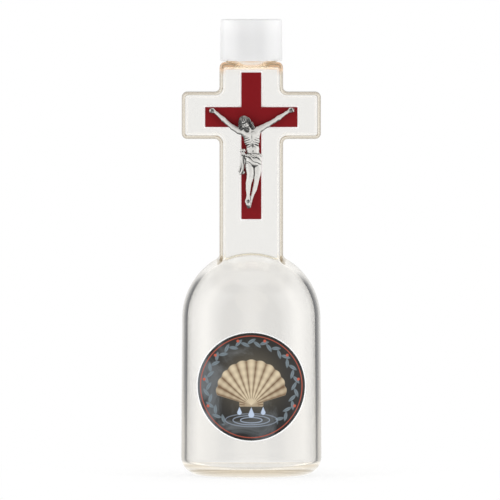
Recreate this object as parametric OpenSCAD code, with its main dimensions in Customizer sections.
// Holy water bottle: a clear bottle whose neck is a hollow cross, with a screw cap,
// a small crucifix fixed to the front of the neck and a round label on the body.
// Millimetres. The origin is at the middle of the base, +Z is up and the front faces -Y.

/* [Body] */
// Outer diameter just above the base
body_d = 60.8; // [54:0.2:70]
// Outer diameter where the side meets the domed shoulder
shoulder_d = 59.8; // [54:0.2:70]
// Height of that line, which is also the centre of the dome
shoulder_h = 67.7; // [64:0.1:90]
// Thickness of the side and of the dome
body_wall = 2.3; // [1.6:0.1:3.2]
// Height of the inside floor above the table
floor_t = 4.4; // [2.8:0.1:5]
// Outside radius at the foot of the side
foot_r = 8; // [5:0.5:9]
// Inside radius between the floor and the side
heel_r = 3; // [3:0.5:12]
// Diameter of the hollow under the base
punt_d = 34; // [24:1:40]
// Depth of the hollow under the base
punt_depth = 1.2; // [0.6:0.1:1.8]

/* [Cross neck] */
// Width of the shaft and of the upper arm, seen from the front
neck_w = 27.4; // [26:0.2:34]
// Depth of the cross from front to back
neck_d = 22; // [21.6:0.2:26]
// Width over both arms
arm_span = 60; // [52:0.5:70]
// Height of the arms
arm_h = 20.4; // [16:0.2:26]
// Height of the undersides of the arms above the shoulder line
arm_rise = 77.8; // [74:0.2:90]
// Length of the upper arm above the side arms
upper_len = 12.8; // [10:0.2:20]
// Thickness of the walls of the cross
neck_wall = 1.6; // [1.4:0.1:2.6]
// Thickness of the top of the cross
top_wall = 2.2; // [1.6:0.1:3.4]
// Rounding of the long edges of the cross
edge_r = 2; // [1:0.1:2.6]
// Rounding of the corners of the cross, seen from the front
corner_r = 2.4; // [1:0.1:4]
// Fillet in the four inner corners of the cross
armpit_r = 2; // [1:0.1:4]

/* [Screw finish] */
// Height of the mouth above the cross
finish_h = 15.7; // [14:0.1:20]
// Diameter over the thread
thread_d = 23.7; // [23:0.1:24.4]
// Diameter of the mouth's wall under the thread
root_d = 21.4; // [20.6:0.1:21.6]
// Diameter of the mouth's bore
bore_d = 14.5; // [11:0.1:16]
// Rise of the thread in one turn
thread_pitch = 3.175; // [2.8:0.005:3.4]
// Turns of the thread
thread_turns = 1.5; // [1:0.25:2]
// Width of the mouth's thread at its foot
thread_foot_w = 1.7; // [1.3:0.1:1.8]
// Width of the mouth's thread at its crest
thread_crest_w = 0.7; // [0.4:0.1:1]
// Distance from the lip down to the upper end of the thread
thread_top = 2; // [1.5:0.1:3]
// Rounding of the lip
lip_r = 0.6; // [0.3:0.1:1]

/* [Cap] */
// Thickness of the cap's skirt
cap_wall = 1.4; // [1:0.1:2.2]
// Thickness of the cap's top
cap_top_t = 1.4; // [1:0.1:2.5]
// How much smaller the cap's top diameter is
cap_draft = 0.4; // [0:0.1:0.8]
// Rounding of the cap's top edge
cap_edge_r = 0.8; // [0.3:0.1:1.2]
// Gap between the cap's skirt and the cross
cap_gap = 0.4; // [0.2:0.1:1]
// Clearance between the mouth's thread and the cap's wall
cap_clear = 0.25; // [0.2:0.05:0.5]
// Width of the cap's thread at its foot
cap_foot_w = 1.3; // [1:0.1:1.4]
// Width of the cap's thread at its crest
cap_crest_w = 0.6; // [0.4:0.1:0.8]
// Gap between the flanks of the two threads that carry the load
flank_gap = 0.2; // [0.15:0.05:0.3]
// Thickness of the sealing disc in the cap
liner_t = 1.2; // [0.8:0.1:2]

/* [Crucifix] */
// Width of the red cross's bars
bar_w = 8.6; // [7:0.1:11]
// Length of the red crossbar
bar_span = 39.8; // [37:0.2:48]
// Length of the red cross above its crossbar
bar_head = 14.9; // [9:0.1:16]
// Length of the red cross below its crossbar
bar_foot = 39.7; // [38:0.1:46]
// How far the crossbar sits below the middle of the arms
bar_drop = 0.7; // [0:0.1:1.5]
// Thickness of the red cross
plate_t = 1; // [0.6:0.1:2]
// Height of the figure, from its feet to its raised hands
figure_h = 43; // [38:0.5:44]
// Diameter of the nails' shanks
nail_d = 0.7; // [0.5:0.05:0.9]
// Diameter of the nails' heads
nail_head_d = 1.4; // [1.2:0.1:1.6]
// Height of the nails' heads
nail_head_t = 0.5; // [0.3:0.05:0.7]
// Clearance around the nails
nail_clear = 0.08; // [0.05:0.01:0.15]

/* [Label] */
// Diameter of the round picture
label_d = 46.2; // [36:0.1:50]
// Height of the picture's centre above the table
label_z = 39.6; // [36:0.1:44]
// Thickness of the printed film
print_t = 0.2; // [0.15:0.05:0.4]
// Thickness of the white backing under the picture and under the cross
backing_t = 0.2; // [0.15:0.05:0.4]
// How far the white backing shows around the picture and the cross
backing_margin = 0.55; // [0.2:0.05:1]
// Thickness of the glue under each piece that is stuck on
glue_t = 0.05; // [0.03:0.01:0.1]

/* [Hidden] */
$fn = 96;

glass_colour = [0.90, 0.92, 0.90, 0.45];
white_colour = [0.96, 0.96, 0.95];
red_colour = [0.49, 0.12, 0.14];
silver_colour = [0.78, 0.78, 0.75];
steel_colour = [0.42, 0.42, 0.41];
print_colour = [0.27, 0.28, 0.30];

cut = 1;                    // how far a cutting shape runs past the face that it cuts

// Heights along the axis
arm_z = shoulder_h + arm_rise;
arm_top = arm_z + arm_h;
arm_mid = arm_z + arm_h / 2;
neck_top = arm_top + upper_len;
lip_z = neck_top + finish_h;

// Inside of the cross
inner_w = neck_w - 2 * neck_wall;
inner_d = neck_d - 2 * neck_wall;
inner_span = arm_span - 2 * neck_wall;
inner_arm_h = arm_h - 2 * neck_wall;
inner_edge_r = 1;           // rounding of its edges
inner_top = neck_top - top_wall;

// Screw threads: the two ridges run on the same helix, one below the other
root_r = root_d / 2;
thread_r = thread_d / 2;
cap_inner_r = thread_r + cap_clear;
cap_crest_r = root_r + cap_clear;
thread_steps = 36;          // straight pieces in one turn
thread_runout = 6;          // steps over which a ridge fades into its wall
thread_sink = 0.3;          // how deep a ridge is rooted in its wall
thread_z = lip_z - thread_top - thread_turns * thread_pitch;
flank_in = half_width(cap_crest_r, root_r, thread_r, thread_foot_w, thread_crest_w) + cap_crest_w / 2;
flank_out = half_width(thread_r, cap_inner_r, cap_crest_r, cap_foot_w, cap_crest_w) + thread_crest_w / 2;
thread_offset = max(flank_in, flank_out) + flank_gap;

// Cap, from its skirt up to its top
seal_gap = 0.05;            // between the liner and what it lies against
cap_r = cap_inner_r + cap_wall;
cap_z = neck_top + cap_gap;
liner_z = lip_z + seal_gap;
liner_r = cap_inner_r - cap_clear;
cap_roof_z = liner_z + liner_t + seal_gap;
cap_top_z = cap_roof_z + cap_top_t;

// Layers stuck on the front of the cross, each with its front face
bar_z = arm_mid - bar_drop;
backing_front = neck_d / 2 + glue_t + backing_t;
plate_front = backing_front + glue_t + plate_t;
figure_back = plate_front + glue_t;

// Figure: its points are [sideways, forward, up] from the crossing, in 1/43 of its height
unit = figure_h / 43;
left_hand = [-16.7, 0.9, 2.7];
right_hand = [17.0, 0.9, 2.9];
crossed_feet = [-1.25, 1.9, -36.2];
hand_seat = unit * 1.55;    // depth of the flat under a hand's nail
foot_seat = unit * 2.75;    // depth of the flat under the feet's nail

// Half the width at radius r of a ridge that goes from its foot radius to its crest radius
function half_width(r, foot_radius, crest_radius, foot_w, crest_w) =
    (foot_w + (crest_w - foot_w) * (r - foot_radius) / (crest_radius - foot_radius)) / 2;

// Rectangle about the origin with round corners
module rounded_rect(w, h, r) {
    square([w - 2 * r, h], center = true);
    square([w, h - 2 * r], center = true);
    for (x = [-1, 1], y = [-1, 1])
        translate([x * (w / 2 - r), y * (h / 2 - r)]) circle(r);
}

// Right half of the body's outline, grown outwards by a distance
module body_outline(grow) {
    base_r = body_d / 2 + grow;
    dome_r = shoulder_d / 2 + grow;
    round_r = foot_r + grow;
    polygon([[0, foot_r], [base_r, foot_r], [dome_r, shoulder_h], [0, shoulder_h]]);
    translate([0, -grow]) square([base_r - round_r, round_r]);
    intersection() {
        translate([base_r - round_r, foot_r]) circle(round_r);
        translate([base_r - round_r, -grow]) square([round_r, round_r]);
    }
    intersection() {
        translate([0, shoulder_h]) circle(dome_r);
        translate([0, shoulder_h]) square([dome_r, dome_r]);
    }
}

// Right half of the outline of the space inside the body
module cavity_outline() {
    base_r = body_d / 2 - body_wall;
    dome_r = shoulder_d / 2 - body_wall;
    heel_z = floor_t + heel_r;
    polygon([[0, heel_z], [base_r, heel_z], [dome_r, shoulder_h], [0, shoulder_h]]);
    translate([0, floor_t]) square([base_r - heel_r, heel_r]);
    intersection() {
        translate([base_r - heel_r, heel_z]) circle(heel_r);
        translate([base_r - heel_r, floor_t]) square([heel_r, heel_r]);
    }
    intersection() {
        translate([0, shoulder_h]) circle(dome_r);
        translate([0, shoulder_h]) square([dome_r, dome_r]);
    }
}

// Shaft and upper arm of the cross
module cross_shaft(w, d, edge, z0, z1, corner) {
    intersection() {
        translate([0, 0, z0]) linear_extrude(z1 - z0) rounded_rect(w, d, edge);
        translate([0, d / 2, (z0 + z1) / 2]) rotate([90, 0, 0])
            linear_extrude(d) rounded_rect(w, z1 - z0, corner);
    }
}

// Both side arms of the cross in one bar
module cross_arms(span, d, h, edge, corner) {
    translate([0, 0, arm_mid]) intersection() {
        translate([0, d / 2, 0]) rotate([90, 0, 0]) linear_extrude(d) rounded_rect(span, h, corner);
        translate([-span / 2, 0, 0]) rotate([90, 0, 90]) linear_extrude(span) rounded_rect(d, h, edge);
        translate([0, 0, -h / 2]) linear_extrude(h) rounded_rect(span, d, edge);
    }
}

// Fillets in the four inner corners of the cross
module armpits() {
    fillet_d = neck_d - 2 * edge_r;
    for (side = [-1, 1], up = [-1, 1])
        translate([side * neck_w / 2, fillet_d / 2, arm_mid + up * arm_h / 2]) rotate([90, 0, 0])
            linear_extrude(fillet_d) difference() {
                translate([side < 0 ? -armpit_r : 0, up < 0 ? -armpit_r : 0]) square(armpit_r);
                translate([side * armpit_r, up * armpit_r]) circle(armpit_r);
            }
}

// Screw thread: a tapered bar wound up a helix, fading into its wall at both ends
module thread_ridge(wall_r, crest_r, foot_w, crest_w, start_z) {
    outward = sign(crest_r - wall_r);
    steps = ceil(thread_turns * thread_steps);
    sunk_r = wall_r - outward * thread_sink;
    faded_r = wall_r - outward * thread_sink / 2;
    points = [for (i = [0:steps])
        let (turn = i * 360 / thread_steps,
             rise = min(1, i / thread_runout, (steps - i) / thread_runout),
             top_r = faded_r + rise * (crest_r - faded_r),
             z = start_z + thread_pitch * i / thread_steps)
        each [for (p = [[sunk_r, -foot_w], [top_r, -crest_w], [top_r, crest_w], [sunk_r, foot_w]])
            [p[0] * cos(turn), p[0] * sin(turn), z + p[1] / 2]]];
    last = 4 * steps;
    sides = [for (i = [0:steps - 1], k = [0:3])
        let (a = 4 * i + k, b = 4 * i + (k + 1) % 4)
        each [[a, b, b + 4], [a, b + 4, a + 4]]];
    ends = [[2, 1, 0], [3, 2, 0], [last, last + 1, last + 2], [last, last + 2, last + 3]];
    faces = concat(sides, ends);
    polyhedron(points, outward > 0 ? faces : [for (f = faces) [f[2], f[1], f[0]]]);
}

// Ring of the mouth, with a rounded lip
module finish_wall() {
    foot_z = neck_top - top_wall;
    flat_r = root_r - lip_r;
    side_top = lip_z - lip_r;
    rotate_extrude() {
        translate([0, foot_z]) square([root_r, side_top - foot_z]);
        translate([0, side_top]) square([flat_r, lip_r]);
        intersection() {
            translate([flat_r, side_top]) circle(lip_r);
            translate([flat_r, side_top]) square(lip_r);
        }
    }
}

// Hollow under the base, a shallow cap of a large ball
module punt() {
    ball_r = (pow(punt_d / 2, 2) + pow(punt_depth, 2)) / (2 * punt_depth);
    translate([0, 0, punt_depth - ball_r]) sphere(ball_r);
}

// Space for the water: body, cross and mouth in one
module water_space() {
    rotate_extrude() cavity_outline();
    cross_shaft(inner_w, inner_d, inner_edge_r, shoulder_h, inner_top, inner_edge_r);
    cross_arms(inner_span, inner_d, inner_arm_h, inner_edge_r, inner_edge_r);
    translate([0, 0, inner_top - cut]) cylinder(d = bore_d, h = lip_z - inner_top + 2 * cut);
}

// Clear bottle in one moulding
module bottle() {
    color(glass_colour) difference() {
        union() {
            rotate_extrude() body_outline(0);
            cross_shaft(neck_w, neck_d, edge_r, shoulder_h, neck_top, corner_r);
            cross_arms(arm_span, neck_d, arm_h, edge_r, corner_r);
            armpits();
            finish_wall();
            thread_ridge(root_r, thread_r, thread_foot_w, thread_crest_w, thread_z);
        }
        water_space();
        punt();
    }
}

// Smooth screw cap with its inner thread
module screw_cap() {
    top_r = cap_r - cap_draft / 2;
    edge_z = cap_top_z - cap_edge_r;
    color(white_colour) union() {
        difference() {
            rotate_extrude() {
                polygon([[0, cap_z], [cap_r, cap_z], [top_r, edge_z], [0, edge_z]]);
                translate([0, edge_z]) square([top_r - cap_edge_r, cap_edge_r]);
                intersection() {
                    translate([top_r - cap_edge_r, edge_z]) circle(cap_edge_r);
                    translate([top_r - cap_edge_r, edge_z]) square(cap_edge_r);
                }
            }
            translate([0, 0, cap_z - cut]) cylinder(r = cap_inner_r, h = cap_roof_z - cap_z + cut);
        }
        thread_ridge(cap_inner_r, cap_crest_r, cap_foot_w, cap_crest_w, thread_z - thread_offset);
    }
}

// Sealing disc between the lip and the cap
module cap_liner() {
    color(white_colour) translate([0, 0, liner_z]) cylinder(r = liner_r, h = liner_t);
}

// Outline of the red cross, grown outwards by a margin
module bar_outline(grow) {
    half_w = bar_w / 2 + grow;
    translate([-half_w, -bar_w / 2 - bar_foot - grow])
        square([2 * half_w, bar_foot + bar_w + bar_head + 2 * grow]);
    translate([-bar_span / 2 - grow, -half_w]) square([bar_span + 2 * grow, 2 * half_w]);
}

// Flat plate in the shape of the red cross, of a thickness, behind a front face
module bar_plate(grow, thick, front) {
    translate([0, thick - front, bar_z]) rotate([90, 0, 0]) linear_extrude(thick) bar_outline(grow);
}

// White backing that sticks the crucifix to the glass
module cross_backing() {
    color(white_colour) bar_plate(backing_margin, backing_t, backing_front);
}

// Red cross, drilled for the three nails
module red_cross() {
    color(red_colour) difference() {
        bar_plate(0, plate_t, plate_front);
        for (p = [left_hand, right_hand, crossed_feet])
            nail_bore(p, nail_d / 2 + nail_clear, -plate_t - glue_t - cut, cut);
    }
}

// Place of a point of the figure
function figure_at(p) = [unit * p[0], -figure_back - unit * p[1], bar_z + unit * p[2]];

// Round bar through a point of the figure, square to the cross, between two depths
module nail_bore(p, r, from, to) {
    at = figure_at([p[0], 0, p[2]]);
    translate(at - [0, from, 0]) rotate([90, 0, 0]) cylinder(r = r, h = to - from, $fn = 32);
}

// Rounded limb that follows points of the figure, each with its radius
module limb(stations) {
    for (i = [0:len(stations) - 2]) hull() {
        station(stations[i]);
        station(stations[i + 1]);
    }
}

// Ball at a point of the figure, [sideways, forward, up, radius]
module station(s) {
    translate(figure_at(s)) sphere(unit * s[3], $fn = 12);
}

// Rounded lump about a point of the figure, with its own width, depth and height
module lump(p, size, turn) {
    translate(figure_at(p)) rotate([0, turn, 0]) scale(unit * size / 2) sphere(1, $fn = 18);
}

// Trunk from the shoulders to the hips
module trunk() {
    hull() {
        lump([-0.1, 1.9, -6.9], [8.0, 4.2, 3.6], 6);
        lump([0.4, 2.0, -10.4], [6.4, 4.2, 4.4], 0);
    }
    hull() {
        lump([0.4, 2.0, -10.4], [6.4, 4.2, 4.4], 0);
        lump([0.7, 1.7, -14.2], [5.5, 3.4, 4.0], 0);
    }
    hull() {
        lump([0.7, 1.7, -14.2], [5.5, 3.4, 4.0], 0);
        lump([0.9, 1.9, -17.6], [7.2, 4.0, 5.0], 0);
    }
}

// Head leaning to one side, with its hair and beard
module head() {
    limb([[-0.6, 2.2, -6.0, 1.35], [-1.9, 2.9, -4.2, 1.45]]);
    lump([-2.9, 3.2, -2.0], [4.4, 4.8, 5.2], -20);
    lump([-2.2, 3.7, -4.3], [3.0, 3.0, 2.6], -20);
    limb([[-1.2, 2.6, -1.6, 1.1], [0.6, 2.4, -4.2, 0.9], [1.8, 2.3, -6.0, 0.6]]);
    limb([[-4.4, 2.6, -2.4, 0.9], [-4.0, 2.4, -5.4, 0.8]]);
}

// Both arms, from the shoulders to the nailed hands
module arms() {
    left_fingers = concat(left_hand, 1) + [-0.5, 0, 0.2, 0];
    right_fingers = concat(right_hand, 1) + [0.5, 0, 0.2, 0];
    limb([[-3.2, 1.9, -6.4, 1.7], [-5.4, 1.7, -6.2, 1.3], [-7.9, 1.5, -4.6, 1.05], [-10.6, 1.3, -2.4, 0.95],
          [-12.2, 1.2, -0.8, 1.0], [-14.7, 0.95, 1.5, 0.65], [-16.0, 0.9, 2.4, 0.95], left_fingers]);
    limb([[2.4, 1.9, -6.2, 1.7], [4.2, 1.7, -4.8, 1.3], [6.8, 1.5, -3.4, 1.05], [9.7, 1.3, -1.7, 0.95],
          [11.6, 1.2, -0.5, 1.0], [15.2, 0.95, 1.9, 0.65], [16.4, 0.9, 2.6, 0.95], right_fingers]);
}

// Both legs, bent at the knee, with the feet crossed
module legs() {
    upper_foot = concat(crossed_feet, 1.1);
    limb([[-0.3, 2.1, -19.6, 1.75], [-0.1, 2.8, -26.0, 1.15], [-1.1, 2.3, -29.2, 1.2],
          [-1.3, 2.0, -34.0, 0.75], upper_foot, [-1.1, 2.1, -38.6, 0.85]]);
    limb([[2.5, 2.0, -20.4, 1.6], [2.6, 2.6, -26.3, 1.1], [1.8, 1.9, -29.3, 1.15],
          [0.2, 1.2, -34.4, 0.75], [-0.8, 1.0, -36.6, 0.95], [-0.9, 0.9, -38.0, 0.75]]);
}

// Loincloth with its knot and the end that hangs from it
module loincloth() {
    hull() {
        lump([0.9, 1.9, -16.6], [7.8, 4.6, 3.6], 4);
        lump([0.9, 2.1, -19.6], [7.4, 4.8, 4.0], 8);
    }
    limb([[-2.6, 2.1, -16.4, 1.2], [-3.8, 1.9, -14.9, 1.15]]);
    limb([[-3.6, 1.7, -16.0, 0.95], [-3.6, 1.5, -20.4, 1.0], [-4.0, 1.2, -24.0, 1.1]]);
}

// Cast figure: flat at the back, seated and drilled for its nails
module corpus() {
    reach = figure_h;
    color(silver_colour) difference() {
        union() {
            trunk();
            head();
            arms();
            legs();
            loincloth();
        }
        translate([-reach, -figure_back, bar_z - reach]) cube(2 * reach);
        for (p = [left_hand, right_hand]) nail_cut(p, hand_seat);
        nail_cut(crossed_feet, foot_seat);
    }
}

// Hole for a nail's shank and the flat under its head
module nail_cut(p, seat) {
    nail_bore(p, nail_d / 2 + nail_clear, -cut, seat + cut);
    nail_bore(p, nail_head_d / 2 + nail_clear, seat, figure_h);
}

// Nail with a round head, through the figure and the red cross
module nail(p, seat) {
    head_z = seat + seal_gap;
    color(steel_colour) union() {
        nail_bore(p, nail_d / 2, -plate_t - glue_t, head_z + nail_head_t / 2);
        nail_bore(p, nail_head_d / 2, head_z, head_z + nail_head_t);
    }
}

module left_hand_nail() { nail(left_hand, hand_seat); }
module right_hand_nail() { nail(right_hand, hand_seat); }
module foot_nail() { nail(crossed_feet, foot_seat); }

// Round piece of film that follows the body's surface between two distances from it
module body_film(film_d, from, to) {
    intersection() {
        rotate_extrude() difference() {
            body_outline(to);
            body_outline(from);
        }
        translate([0, 0, label_z]) rotate([90, 0, 0]) cylinder(d = film_d, h = body_d);
    }
}

// White backing of the picture
module label_backing() {
    color(white_colour) body_film(label_d + 2 * backing_margin, glue_t, glue_t + backing_t);
}

// Printed film of the picture
module label_print() {
    from = backing_t + 2 * glue_t;
    color(print_colour) body_film(label_d, from, from + print_t);
}

bottle();
screw_cap();
cap_liner();
cross_backing();
red_cross();
corpus();
left_hand_nail();
right_hand_nail();
foot_nail();
label_backing();
label_print();
